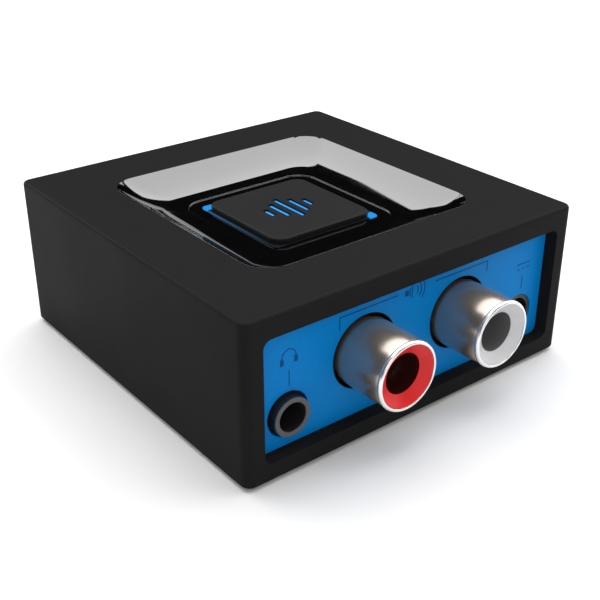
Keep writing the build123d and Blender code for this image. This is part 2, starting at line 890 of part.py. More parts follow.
def build_all():
    """Every node's shape by name."""
    nodes = {
        "housing": make_housing(),
        "bottom_cover": make_cover(),
        "foot_pad": make_foot(),
        "cover_screws": make_cover_screws(),
        "top_bezel": make_bezel(),
        "light_guide": make_guide(),
        "button_cap": make_cap(),
        "button_diffuser": make_diffuser(),
        "connector_panel": make_panel(),
        "phono_block": make_phono_block(),
        "phono_insulator_red": make_insulator(-1),
        "phono_insulator_white": make_insulator(1),
        "aux_jack_body": make_aux_body(),
        "power_jack_body": make_power_body(),
        "power_jack_pin": make_power_pin(),
        "power_jack_spring": power_leaf(0.0),
        "main_board": make_main_board(),
        "main_board_screws": make_board_screws(),
        "button_board": make_button_board(),
        "button_board_screws": make_button_board_screws(),
        "header_block": make_header(),
        "header_pins": make_header_pins(),
        "switch_base": make_switch_base(),
        "switch_cover": make_switch_cover(),
        "switch_plunger": make_plunger(),
        "switch_dome": make_dome(),
        "switch_legs": make_switch_legs(),
        "button_leds": make_leds(),
        "radio_board": on_board(radio_x, radio_y, radio_w, radio_d, radio_t),
        "radio_shield": make_shield(),
        "radio_chip": on_board(radio_x, radio_y + shield_shift, radio_chip_size,
                               radio_chip_size, radio_chip_h, radio_t),
        "radio_antenna": on_board(radio_x, radio_y + antenna_shift, antenna_w, antenna_d,
                                  antenna_h, radio_t),
        "converter_chip": chip_body(converter),
        "converter_leads": chip_leads(converter),
        "amplifier_chip": chip_body(amplifier),
        "amplifier_leads": chip_leads(amplifier),
        "memory_chip": chip_body(memory),
        "memory_leads": chip_leads(memory),
        "voltage_regulator": chip_body(regulator),
        "regulator_leads": chip_leads(regulator),
        "power_inductor": on_board(*inductor),
        "crystal": on_board(*crystal),
        "electrolytic_cans": make_cans(),
        "electrolytic_bases": make_passives(can_places, (can_base, can_base, can_base_h)),
        "ceramic_capacitors": make_passives(capacitor_places, capacitor_size),
        "resistors": make_passives(resistor_places, resistor_size),
    }
    for name, side in (("left", -1), ("right", 1)):
        nodes[f"phono_barrel_{name}"] = make_barrel(side)
        nodes[f"phono_contact_{name}"] = make_contact(side)
    for index, name in enumerate(("sleeve", "ring", "tip")):
        nodes[f"aux_{name}_contact"] = make_aux_contact(index)
    return nodes


os.makedirs("parts", exist_ok=True)
for node, shape in build_all().items():
    export_step(shape, f"parts/{node}.step")
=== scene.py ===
"""Bluetooth audio receiver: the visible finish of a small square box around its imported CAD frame.

The box stands on z = 0 with its sockets towards -Y and its push button on top. The sizes of
pieces are in millimetres, which the bench turns into metres; lights and camera are in metres.
"""
import logging
import math
from dataclasses import dataclass, field
from enum import Enum
from typing import Callable

import bmesh
import bpy
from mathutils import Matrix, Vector


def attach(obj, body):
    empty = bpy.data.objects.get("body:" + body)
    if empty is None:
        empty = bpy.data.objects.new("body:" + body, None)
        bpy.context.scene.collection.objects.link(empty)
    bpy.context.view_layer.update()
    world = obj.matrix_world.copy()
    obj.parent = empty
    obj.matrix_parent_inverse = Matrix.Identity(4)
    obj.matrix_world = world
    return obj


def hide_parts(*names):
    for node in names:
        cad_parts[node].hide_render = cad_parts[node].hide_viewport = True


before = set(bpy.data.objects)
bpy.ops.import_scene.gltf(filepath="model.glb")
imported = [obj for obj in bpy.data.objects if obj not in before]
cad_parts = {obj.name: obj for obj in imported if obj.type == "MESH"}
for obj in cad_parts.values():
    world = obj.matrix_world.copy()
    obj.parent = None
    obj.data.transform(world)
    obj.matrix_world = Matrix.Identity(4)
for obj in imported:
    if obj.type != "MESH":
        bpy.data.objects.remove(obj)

log = logging.getLogger("receiver")
MM = 0.001
MERGE = 2e-6            # metres within which two vertices are one
ON_OUTLINE = 0.002      # millimetres within which a vertex is on an outline
SMOOTH_ANGLE = 35.0     # degrees
NOISE_LOW, NOISE_HIGH = 0.3, 0.7    # most of a noise's values lie between these
ROUND_STEPS = 4         # spans round a small rounded edge

Point = tuple[float, float, float]
Pair = tuple[float, float]
Triple = tuple[float, float, float]
Colour = tuple[float, float, float, float]
Rule = Callable[[Vector], bool]


def srgb(red: int, green: int, blue: int) -> Colour:
    """Turn an 8-bit display colour into a linear one.

    Args:
        red: Red from 0 to 255.
        green: Green from 0 to 255.
        blue: Blue from 0 to 255.

    Returns:
        The linear colour with an alpha of 1.
    """
    def linear(value: int) -> float:
        """Undo the display curve on one channel."""
        part = value / 255
        return part / 12.92 if part <= 0.04045 else ((part + 0.055) / 1.055) ** 2.4

    return linear(red), linear(green), linear(blue), 1.0


def shade(colour: Colour, factor: float, lift: float = 0.0) -> Colour:
    """Darken or lighten a colour by a factor and a lift, to no more than white."""
    return tuple(min(part * factor + lift, 1.0) for part in colour[:3]) + (1.0,)


# ---- Shader graphs ------------------------------------------------------------------------

class Graph:
    """A material's node tree, with a method for each kind of node that the finishes use."""

    def __init__(self, name: str) -> None:
        """Start an empty material with a principled shader on its output."""
        self.material = bpy.data.materials.new(name)
        self.material.use_nodes = True
        self.tree = self.material.node_tree
        self.tree.nodes.clear()
        output = self.add("ShaderNodeOutputMaterial")
        self.shader = self.add("ShaderNodeBsdfPrincipled")
        self.join(self.shader.outputs["BSDF"], output.inputs["Surface"])
        self.place = self.add("ShaderNodeTexCoord").outputs["Object"]

    def add(self, kind: str, **settings: object) -> bpy.types.Node:
        """Add a node and set its properties."""
        node = self.tree.nodes.new(kind)
        for key, value in settings.items():
            setattr(node, key, value)
        return node

    def join(self, start: bpy.types.NodeSocket, end: bpy.types.NodeSocket) -> None:
        """Link an output to an input."""
        self.tree.links.new(start, end)

    def feed(self, socket: bpy.types.NodeSocket, value: object) -> None:
        """Link a socket if the value is one, and otherwise set it."""
        if isinstance(value, bpy.types.NodeSocket):
            self.join(value, socket)
        else:
            socket.default_value = value

    def noise(self, scale: float, detail: float = 3.0, stretch: Point = (1, 1, 1)) -> object:
        """A noise value from 0 to 1 in object space.

        Args:
            scale: The pattern's cells a metre.
            detail: How many finer layers it has.
            stretch: A factor on the scale along each axis.

        Returns:
            The value's socket.
        """
        mapping = self.add("ShaderNodeMapping")
        mapping.inputs["Scale"].default_value = stretch
        self.join(self.place, mapping.inputs["Vector"])
        node = self.add("ShaderNodeTexNoise")
        node.inputs["Scale"].default_value = scale
        node.inputs["Detail"].default_value = detail
        self.join(mapping.outputs["Vector"], node.inputs["Vector"])
        return node.outputs["Fac"]

    def span(self, value: object, low: float, high: float, start: float, end: float,
             smooth: bool = False) -> object:
        """Map a value from one range to another, clamped.

        Args:
            value: The value's socket.
            low: The value that gives the start.
            high: The value that gives the end.
            start: The result at low.
            end: The result at high.
            smooth: Whether the result eases in and out.

        Returns:
            The result's socket.
        """
        node = self.add("ShaderNodeMapRange", clamp=True)
        if smooth:
            node.interpolation_type = "SMOOTHSTEP"
        self.feed(node.inputs["Value"], value)
        ranges = {"From Min": low, "From Max": high, "To Min": start, "To Max": end}
        for name, number in ranges.items():
            node.inputs[name].default_value = number
        return node.outputs["Result"]

    def spread(self, noise: object, start: float, end: float) -> object:
        """Map the part of a noise where most of its values lie to a start and an end."""
        return self.span(noise, NOISE_LOW, NOISE_HIGH, start, end)

    def blend(self, amount: object, first: object, second: object) -> object:
        """Mix two colours by an amount from 0 to 1."""
        node = self.add("ShaderNodeMix", data_type="RGBA")
        self.feed(node.inputs[0], amount)
        self.feed(node.inputs[6], first)
        self.feed(node.inputs[7], second)
        return node.outputs[2]

    def compute(self, kind: str, first: object, second: object) -> object:
        """One step of arithmetic."""
        node = self.add("ShaderNodeMath", operation=kind)
        self.feed(node.inputs[0], first)
        self.feed(node.inputs[1], second)
        return node.outputs[0]

    def axis(self, name: str) -> object:
        """One object coordinate."""
        node = self.add("ShaderNodeSeparateXYZ")
        self.join(self.place, node.inputs[0])
        return node.outputs[name]

    def distance(self, point: Point) -> object:
        """The distance from a point in object space."""
        node = self.add("ShaderNodeVectorMath", operation="DISTANCE")
        self.join(self.place, node.inputs[0])
        node.inputs[1].default_value = point
        return node.outputs["Value"]

    def bump(self, height: object, depth: float) -> None:
        """Raise the surface by a height pattern of this depth in metres."""
        node = self.add("ShaderNodeBump")
        node.inputs["Strength"].default_value = 1.0
        node.inputs["Distance"].default_value = depth
        self.join(height, node.inputs["Height"])
        self.join(node.outputs["Normal"], self.shader.inputs["Normal"])

    def surface(self, **values: object) -> None:
        """Set or link the shader's sockets by their names with underscores for spaces."""
        for key, value in values.items():
            self.feed(self.shader.inputs[key.replace("_", " ")], value)


# ---- Finishes -----------------------------------------------------------------------------

@dataclass(frozen=True)
class Recipe:
    """What every finish has: a name, and a material made by wiring its shader."""

    name: str

    def build(self) -> bpy.types.Material:
        """Make the material."""
        graph = Graph(self.name)
        self.mix(graph)
        return graph.material

    def mix(self, graph: Graph) -> None:
        """Wire the shader."""
        raise NotImplementedError


@dataclass(frozen=True)
class MouldedPlastic(Recipe):
    """Moulded plastic with a fine spark-eroded grain and a slight mottle."""

    colour: Colour
    roughness: float = 0.45
    grain: float = 6500.0
    grain_depth: float = 2.5e-6
    mottle: float = 0.12
    specular: float = 0.5
    cloud_scale: float = 90.0
    rough_spread: float = 0.03

    def mix(self, graph: Graph) -> None:
        """Wire the shader."""
        cloud = graph.noise(self.cloud_scale)
        fine = graph.noise(self.grain, 2.0)
        darker, lighter = shade(self.colour, 1 - self.mottle), shade(self.colour, 1 + self.mottle)
        rough = graph.spread(cloud, self.roughness - self.rough_spread,
                             self.roughness + self.rough_spread)
        graph.surface(Base_Color=graph.blend(graph.spread(fine, 0, 1), darker, lighter),
                      Roughness=rough, Specular_IOR_Level=self.specular)
        graph.bump(fine, self.grain_depth)


@dataclass(frozen=True)
class GlossPlastic(Recipe):
    """Polished plastic with a faint ripple and fine hairlines in its shine."""

    colour: Colour
    roughness: float = 0.06
    specular: float = 0.5
    ior: float = 1.5
    ripple_depth: float = 2e-8
    ripple_scale: float = 160.0
    hairline_scale: float = 900.0
    hairline_stretch: Point = (1.0, 7.0, 1.0)
    hairline_range: Pair = (0.35, 0.75)
    rough_shares: Pair = (0.7, 1.5)
    cloud_scale: float = 300.0
    cloud_factor: float = 1.15
    cloud_lift: float = 0.0005

    def mix(self, graph: Graph) -> None:
        """Wire the shader."""
        hairline = graph.noise(self.hairline_scale, 4.0, self.hairline_stretch)
        tint = graph.spread(graph.noise(self.cloud_scale), 0.0, 1.0)
        lighter = shade(self.colour, self.cloud_factor, self.cloud_lift)
        roughs = [self.roughness * share for share in self.rough_shares]
        graph.surface(Base_Color=graph.blend(tint, self.colour, lighter),
                      Roughness=graph.span(hairline, *self.hairline_range, *roughs),
                      IOR=self.ior, Specular_IOR_Level=self.specular)
        graph.bump(graph.noise(self.ripple_scale, 1.0), self.ripple_depth)


@dataclass(frozen=True)
class SocketLiner(Recipe):
    """Coloured socket plastic whose bore behind the funnel is painted darker, as painted shade deep
    in the bore.
    """

    colour: Colour
    bore_shade_colour: Colour
    bore_shade_y: float = -0.02985
    edge: float = 0.00002
    cloud_scale: float = 500.0
    cloud_factor: float = 0.93
    rough_scale: float = 900.0
    rough_range: Pair = (0.36, 0.46)
    specular: float = 0.3
    grain: float = 2500.0
    grain_depth: float = 8e-7

    def mix(self, graph: Graph) -> None:
        """Wire the shader."""
        # painted shade: past this Y the bore takes the darker bore colour, standing in for the
        # shade deep inside it
        depth = graph.span(graph.axis("Y"), self.bore_shade_y, self.bore_shade_y + self.edge, 0.0, 1.0)
        tint = graph.spread(graph.noise(self.cloud_scale), 0.0, 1.0)
        face = graph.blend(tint, self.colour, shade(self.colour, self.cloud_factor))
        graph.surface(Base_Color=graph.blend(depth, face, self.bore_shade_colour),
                      Roughness=graph.spread(graph.noise(self.rough_scale), *self.rough_range),
                      Specular_IOR_Level=self.specular)
        graph.bump(graph.noise(self.grain, 2.0), self.grain_depth)


@dataclass(frozen=True)
class Metal(Recipe):
    """Plated or rolled metal with fine marks along one direction."""

    colour: Colour
    roughness: float = 0.2
    lines: Point = (1.0, 1.0, 1.0)
    line_scale: float = 2500.0
    line_depth: float = 4e-7
    tarnish: float = 0.15
    tarnish_scale: float = 420.0
    tarnish_range: Pair = (0.4, 0.75)
    rough_share: float = 0.27

    def mix(self, graph: Graph) -> None:
        """Wire the shader."""
        marks = graph.noise(self.line_scale, 3.0, self.lines)
        cloud = graph.span(graph.noise(self.tarnish_scale), *self.tarnish_range, 0.0, 1.0)
        dull = shade(self.colour, 1 - self.tarnish)
        graph.surface(Base_Color=graph.blend(cloud, self.colour, dull), Metallic=1.0,
                      Roughness=graph.spread(marks, self.roughness * (1 - self.rough_share),
                                             self.roughness * (1 + self.rough_share)))
        graph.bump(marks, self.line_depth)


@dataclass(frozen=True)
class BarrelPlating(Recipe):
    """Dark satin plating on a turned barrel whose rolled lip is polished bright."""

    body: Colour
    lip: Colour
    lip_y: float
    blend: float = 0.0009
    roughness: float = 0.26
    metallic: float = 0.86
    line_scale: float = 900.0
    lines: Point = (0.1, 2.0, 0.1)
    line_depth: float = 8e-9
    rough_share: float = 0.03

    def mix(self, graph: Graph) -> None:
        """Wire the shader."""
        marks = graph.noise(self.line_scale, 3.0, self.lines)
        shine = graph.span(graph.axis("Y"), self.lip_y, self.lip_y + self.blend, 1.0, 0.0,
                           smooth=True)
        graph.surface(Base_Color=graph.blend(shine, self.body, self.lip), Metallic=self.metallic,
                      Roughness=graph.spread(marks, self.roughness * (1 - self.rough_share),
                                             self.roughness * (1 + self.rough_share)))
        graph.bump(marks, self.line_depth)


@dataclass(frozen=True)
class SoftRubber(Recipe):
    """Dull rubber with a fine grain and dusty high spots."""

    colour: Colour
    dust: Colour = srgb(74, 73, 70)
    dust_scale: float = 240.0
    dust_range: Pair = (0.45, 0.8)
    dust_most: float = 0.5
    rough_scale: float = 700.0
    rough_range: Pair = (0.7, 0.9)
    specular: float = 0.35
    grain: float = 4200.0
    grain_depth: float = 1.2e-5

    def mix(self, graph: Graph) -> None:
        """Wire the shader."""
        dust = graph.span(graph.noise(self.dust_scale, 6.0), *self.dust_range, 0.0, self.dust_most)
        graph.surface(Base_Color=graph.blend(dust, self.colour, self.dust),
                      Roughness=graph.spread(graph.noise(self.rough_scale), *self.rough_range),
                      Specular_IOR_Level=self.specular)
        graph.bump(graph.noise(self.grain, 4.0), self.grain_depth)


@dataclass(frozen=True)
class LitGuide(Recipe):
    """Blue light-guide plastic that glows at two corners, with a painted reflection of its light
    along its left edge.
    """

    glow: Colour
    strength: float
    left_corner: Point
    right_corner: Point
    base: Colour = srgb(1, 4, 9)
    roughness: float = 0.3
    specular: float = 0.2
    corner_reach: float = 0.0016
    corner_core: float = 0.85
    # edge and the two fields after it shape a painted reflection: a faint blue line along the left
    # side that fades away from the left corner
    edge: float = 0.00006
    reflection_reach: float = 0.0155
    reflection_share: float = 0.45
    grain: float = 1500.0
    grain_range: Pair = (0.9, 1.05)

    def mix(self, graph: Graph) -> None:
        """Wire the shader."""
        corners = []
        for place in (self.left_corner, self.right_corner):
            away = graph.distance(place)
            corners.append(graph.span(away, self.corner_reach * self.corner_core,
                                      self.corner_reach, 1.0, 0.0, smooth=True))
        # painted reflection: a glowing band along the guide's left side, fading with distance from
        # the left corner
        rim = self.left_corner[0] + self.edge
        line = graph.span(graph.axis("X"), rim, rim + self.edge, 1.0, 0.0)
        away = graph.distance(self.left_corner)
        reflection_fade = graph.span(away, 0.0, self.reflection_reach, self.reflection_share, 0.0)
        lit = graph.compute("MAXIMUM", graph.compute("MAXIMUM", *corners),
                            graph.compute("MULTIPLY", line, reflection_fade))
        grain = graph.spread(graph.noise(self.grain), *self.grain_range)
        light = graph.compute("MULTIPLY", graph.compute("MULTIPLY", lit, grain), self.strength)
        graph.surface(Base_Color=self.base, Roughness=self.roughness,
                      Specular_IOR_Level=self.specular, Emission_Color=self.glow,
                      Emission_Strength=light)


@dataclass(frozen=True)
class LitPlate(Recipe):
    """Blue diffuser plastic, lit all over from below."""

    glow: Colour
    strength: float
    base: Colour = srgb(10, 70, 150)
    roughness: float = 0.35
    grain: float = 1800.0
    grain_range: Pair = (0.85, 1.1)

    def mix(self, graph: Graph) -> None:
        """Wire the shader."""
        grain = graph.spread(graph.noise(self.grain), *self.grain_range)
        graph.surface(Base_Color=self.base, Roughness=self.roughness, Emission_Color=self.glow,
                      Emission_Strength=graph.compute("MULTIPLY", grain, self.strength))


class Finish(Enum):
    """Each finish of the receiver, by the thing that it covers."""

    HOUSING = MouldedPlastic("housing_plastic", (0.0103, 0.0103, 0.0107, 1), 0.5, specular=0.03)
    COVER = MouldedPlastic("cover_plastic", (0.009, 0.009, 0.0094, 1), 0.5, specular=0.08)
    FOOT = SoftRubber("foot_rubber", srgb(28, 28, 28))
    BEZEL = GlossPlastic("bezel_gloss", (0.0003, 0.0003, 0.0004, 1), 0.06, 1.0, 1.75)
    CAP = MouldedPlastic("cap_plastic", (0.0105, 0.0105, 0.0108, 1), 0.42, specular=0.08)
    # the guide's glow at its two corners is its own light; the faint line along its left side is a
    # painted reflection
    GUIDE = LitGuide("guide_blue", srgb(20, 150, 235), 1.0, (-0.0082, 0.0082, 0.01815),
                     (0.0082, -0.0082, 0.01815))
    DIFFUSER = LitPlate("diffuser_blue", srgb(30, 156, 235), 1.15)
    PANEL = MouldedPlastic("panel_blue", (0.0, 0.172, 0.485, 1), 0.45, 3200.0, 2e-6, 0.03, 0.08)
    INK = MouldedPlastic("panel_ink", (0.0, 0.05, 0.2, 1), 0.5, 3200.0, 2e-6, 0.03, 0.1)
    BARREL = BarrelPlating("barrel_nickel", (0.46, 0.4, 0.35, 1), (0.82, 0.81, 0.8, 1), -0.0306)
    # near-black, used on the jack block and on the rings in the barrels' gaps, where it stands for
    # the shade in those gaps (painted shade)
    SLEEVE = MouldedPlastic("black_gap_shade", (0.002, 0.002, 0.002, 1), 0.6, specular=0.05)
    BUSH = MouldedPlastic("bush_grey", (0.06, 0.06, 0.063, 1), 0.4)
    JACK = MouldedPlastic("jack_black", (0.012, 0.012, 0.013, 1), 0.35)
    NICKEL = Metal("nickel", (0.62, 0.63, 0.66, 1), 0.16, (1.0, 6.0, 1.0))
    # the second colour of each liner is painted shade deep in its bore
    RED = SocketLiner("insulator_red", (0.6, 0.012, 0.012, 1), (0.03, 0.004, 0.003, 1))
    WHITE = SocketLiner("insulator_white", (0.54, 0.54, 0.55, 1), (0.13, 0.13, 0.135, 1))
    TIN = Metal("tin_brass", (0.66, 0.6, 0.46, 1), 0.28)
    STEEL = Metal("zinc_steel", (0.52, 0.53, 0.55, 1), 0.3)
    SPRING = Metal("spring_steel", (0.6, 0.6, 0.62, 1), 0.22)
    SHIELD = Metal("shield_tin", (0.6, 0.61, 0.62, 1), 0.32, (1.0, 5.0, 1.0))
    GOLD = Metal("gold_pin", (0.83, 0.6, 0.24, 1), 0.2)
    CAN = Metal("can_aluminium", (0.72, 0.73, 0.75, 1), 0.25, (1.0, 1.0, 8.0))
    BOARD = MouldedPlastic("board_green", (0.01, 0.09, 0.03, 1), 0.3)
    RADIO_BOARD = MouldedPlastic("board_black", (0.01, 0.02, 0.03, 1), 0.3)
    SWITCH = MouldedPlastic("switch_black", (0.012, 0.012, 0.012, 1), 0.4)
    LED = GlossPlastic("led_package", (0.55, 0.62, 0.7, 1), 0.15)
    EPOXY = MouldedPlastic("chip_epoxy", (0.015, 0.015, 0.016, 1), 0.6, 2600.0, 4e-6)
    ANTENNA = MouldedPlastic("antenna_ceramic", (0.6, 0.58, 0.53, 1), 0.5)
    CERAMIC = MouldedPlastic("capacitor_ceramic", (0.32, 0.2, 0.1, 1), 0.4)
    RESISTOR = GlossPlastic("resistor_black", (0.012, 0.012, 0.014, 1), 0.2)
    FERRITE = MouldedPlastic("ferrite", (0.03, 0.03, 0.032, 1), 0.6, 1800.0, 6e-6)


class PaintBox:
    """Makes each finish's material once."""

    def __init__(self) -> None:
        """Start with no materials made."""
        self.made: dict[Finish, bpy.types.Material] = {}

    def get(self, finish: Finish) -> bpy.types.Material:
        """The finish's material, made at its first use."""
        if finish not in self.made:
            self.made[finish] = finish.value.build()
        return self.made[finish]

    def dress(self, piece: bpy.types.Object, finish: Finish) -> None:
        """Give a piece one finish all over."""
        piece.data.materials.clear()
        piece.data.materials.append(self.get(finish))


FINISH_NODES: dict[Finish, str] = {
    Finish.HOUSING: "housing",
    Finish.COVER: "bottom_cover",
    Finish.FOOT: "foot_pad",
    Finish.STEEL: "cover_screws main_board_screws button_board_screws",
    Finish.BEZEL: "top_bezel",
    Finish.GUIDE: "light_guide",
    Finish.CAP: "button_cap",
    Finish.DIFFUSER: "button_diffuser",
    Finish.PANEL: "connector_panel",
    Finish.SLEEVE: "phono_block",
    Finish.RED: "phono_insulator_red",
    Finish.WHITE: "phono_insulator_white",
    Finish.NICKEL: "phono_barrel_left phono_barrel_right power_jack_pin",
    Finish.TIN: "phono_contact_left phono_contact_right switch_legs converter_leads "
                "amplifier_leads memory_leads regulator_leads",
    Finish.JACK: "aux_jack_body power_jack_body",
    Finish.SPRING: "aux_sleeve_contact aux_ring_contact aux_tip_contact "
                   "power_jack_spring switch_dome",
    Finish.BOARD: "main_board button_board",
    Finish.SWITCH: "header_block switch_base switch_plunger electrolytic_bases",
    Finish.GOLD: "header_pins",
    Finish.SHIELD: "switch_cover radio_shield crystal",
    Finish.LED: "button_leds",
    Finish.RADIO_BOARD: "radio_board",
    Finish.EPOXY: "radio_chip converter_chip amplifier_chip memory_chip voltage_regulator",
    Finish.ANTENNA: "radio_antenna",
    Finish.FERRITE: "power_inductor",
    Finish.CAN: "electrolytic_cans",
    Finish.CERAMIC: "ceramic_capacitors",
    Finish.RESISTOR: "resistors",
}


# ---- Bench: edit-mode steps ---------------------------------------------------------------

class Workpiece:
    """A new mesh that starts as a primitive and is shaped by edit-mode steps."""

    def __init__(self, name: str, add: Callable[[], object]) -> None:
        """Add the primitive alone and select all of it in edit mode.

        Args:
            name: The piece's name.
            add: Adds the primitive as the active object.
        """
        bpy.ops.object.select_all(action="DESELECT")
        add()
        self.piece = bpy.context.active_object
        self.piece.name = self.piece.data.name = name
        bpy.ops.object.transform_apply(location=True, rotation=True, scale=True)
        bpy.ops.object.mode_set(mode="EDIT")
        bpy.ops.mesh.select_mode(type="VERT")
        bpy.ops.mesh.select_all(action="SELECT")

    def pick(self, rule: Rule) -> None:
        """Select only the vertices whose place passes the rule."""
        bpy.ops.mesh.select_mode(type="VERT")
        bpy.ops.mesh.select_all(action="DESELECT")
        mesh = bmesh.from_edit_mesh(self.piece.data)
        for vert in mesh.verts:
            vert.select_set(rule(vert.co))
        mesh.select_flush(True)
        bmesh.update_edit_mesh(self.piece.data)

    def pick_faces(self, rule: Callable[[Vector, Vector], bool]) -> None:
        """Select only the faces whose centre and normal pass the rule."""
        bpy.ops.mesh.select_mode(type="FACE")
        bpy.ops.mesh.select_all(action="DESELECT")
        mesh = bmesh.from_edit_mesh(self.piece.data)
        mesh.normal_update()
        for face in mesh.faces:
            face.select_set(rule(face.calc_center_median(), face.normal))
        bmesh.update_edit_mesh(self.piece.data)

    def done(self, angle: float = SMOOTH_ANGLE) -> bpy.types.Object:
        """Merge doubles, face outwards, leave edit mode and smooth the shallow edges.

        Args:
            angle: Edges flatter than this many degrees are smooth.

        Returns:
            The finished piece.
        """
        bpy.ops.mesh.select_all(action="SELECT")
        bpy.ops.mesh.remove_doubles(threshold=MERGE)
        bpy.ops.mesh.normals_make_consistent(inside=False)
        bpy.ops.object.mode_set(mode="OBJECT")
        bpy.ops.object.shade_smooth_by_angle(angle=math.radians(angle))
        return self.piece

    def modify(self, kind: str, **settings: object) -> None:
        """Add one modifier and apply it."""
        modifier = self.piece.modifiers.new(kind.lower(), kind)
        for key, value in settings.items():
            setattr(modifier, key, value)
        bpy.ops.object.modifier_apply(modifier=modifier.name)

    def cut(self, tool: bpy.types.Object, operation: str = "DIFFERENCE") -> None:
        """Cut with another closed piece, or join it, and throw the tool away.

        Args:
            tool: The closed piece.
            operation: The boolean modifier's word for what to do.
        """
        bpy.ops.object.select_all(action="DESELECT")
        bpy.context.view_layer.objects.active = self.piece
        self.piece.select_set(True)
        self.modify("BOOLEAN", object=tool, operation=operation, solver="EXACT")
        bpy.data.objects.remove(tool, do_unlink=True)


@dataclass(frozen=True)
class Outline:
    """A level rounded rectangle about a point on the Y axis."""

    half_x: float
    half_y: float
    radius: float
    height: float
    middle_y: float = 0.0
    corner_steps: int = 20

    def holds(self, place: Vector) -> bool:
        """Whether a vertex in metres lies on this outline."""
        x, y, z = place / MM
        over_x = max(abs(x) - self.half_x + self.radius, 0.0)
        over_y = max(abs(y - self.middle_y) - self.half_y + self.radius, 0.0)
        outside = math.hypot(over_x, over_y) - self.radius
        return abs(z - self.height) < ON_OUTLINE and abs(outside) < ON_OUTLINE

    def draw(self) -> None:
        """Add the outline as a loop of edges to the mesh in edit mode."""
        centre = (0.0, self.middle_y * MM, self.height * MM)
        bpy.ops.mesh.primitive_plane_add(size=2 * MM, location=centre)
        bpy.ops.transform.resize(value=(self.half_x, self.half_y, 1.0), center_override=centre)
        bpy.ops.mesh.bevel(offset=self.radius * MM, segments=self.corner_steps, affect="VERTICES")
        bpy.ops.mesh.delete(type="ONLY_FACE")


def square(half: float, radius: float, height: float) -> Outline:
    """A rounded square outline about the Z axis."""
    return Outline(half, half, radius, height)


def bridge(work: Workpiece, first: Outline, second: Outline) -> None:
    """Join two outlines by one row of quads, corner to corner even where both are level.

    Args:
        work: The workpiece in edit mode that holds both outlines.
        first: The outline that the quads start from.
        second: The outline that they end on.
    """
    mesh = bmesh.from_edit_mesh(work.piece.data)
    rows = []
    for outline in (first, second):
        row = [vert for vert in mesh.verts if outline.holds(vert.co)]
        middle = outline.middle_y * MM
        rows.append(sorted(row, key=lambda vert: math.atan2(vert.co.y - middle, vert.co.x)))
    for i in range(len(rows[0])):
        mesh.faces.new((rows[0][i - 1], rows[0][i], rows[1][i], rows[1][i - 1]))
    bmesh.update_edit_mesh(work.piece.data)


def loft(name: str, outlines: list[Outline], closed: bool) -> Workpiece:
    """Bridge outlines one after another.

    Args:
        name: The piece's name.
        outlines: The outlines in order.
        closed: Whether the last one is bridged to the first, and otherwise both are filled.

    Returns:
        The workpiece in edit mode.
    """
    work = Workpiece(name, lambda: bpy.ops.mesh.primitive_plane_add(size=MM))
    bpy.ops.mesh.delete(type="VERT")
    for outline in outlines:
        outline.draw()
    followers = outlines[1:] + outlines[:1] if closed else outlines[1:]
    for first, second in zip(outlines, followers):
        bridge(work, first, second)
    if not closed:
        for end in (outlines[0], outlines[-1]):
            work.pick(end.holds)
            bpy.ops.mesh.edge_face_add()
    return work


def arc(middle: Pair, radii: Pair, start: float, end: float, steps: int = 6) -> list[Pair]:
    """Points on a quarter or part of an ellipse, with both of its ends.

    Args:
        middle: The ellipse's centre.
        radii: Its two half axes.
        start: The first point's angle in degrees.
        end: The last point's angle in degrees.
        steps: How many spans lie between them.

    Returns:
        The points in order.
    """
    angles = [math.radians(start + (end - start) * i / steps) for i in range(steps + 1)]
    return [(middle[0] + radii[0] * math.cos(angle), middle[1] + radii[1] * math.sin(angle))
            for angle in angles]


def lathe(name: str, section: list[Pair], x: float, z: float, steps: int = 96) -> Workpiece:
    """Turn a closed section about an axis along Y by extruding and scaling a circle.

    Args:
        name: The piece's name.
        section: Radius and Y place of each corner, in order.
        x: The axis's X place.
        z: The axis's Z place.
        steps: How many sides the circle has.

    Returns:
        The workpiece in edit mode.
    """
    radius, y = section[0]
    work = Workpiece(name, lambda: bpy.ops.mesh.primitive_circle_add(
        vertices=steps, radius=radius * MM, location=(x * MM, y * MM, z * MM),
        rotation=(math.pi / 2, 0.0, 0.0)))
    for next_radius, next_y in section[1:] + section[:1]:
        bpy.ops.mesh.extrude_edges_move(
            TRANSFORM_OT_translate={"value": (0.0, (next_y - y) * MM, 0.0)})
        growth = next_radius / radius
        bpy.ops.transform.resize(value=(growth, 1.0, growth),
                                 center_override=(x * MM, next_y * MM, z * MM))
        radius, y = next_radius, next_y
    return work


def settle(piece: bpy.types.Object, slot: str, *nodes: str) -> bpy.types.Object:
    """Fix a piece to the fixed body and hide the CAD nodes that it stands for.

    Args:
        piece: The finished piece.
        slot: Not used.
        nodes: The CAD nodes that it replaces.

    Returns:
        The piece.
    """
    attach(piece, "base")
    if nodes:
        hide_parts(*nodes)
    log.info("%s: %d faces", piece.name, len(piece.data.polygons))
    return piece


# ---- Pieces -------------------------------------------------------------------------------

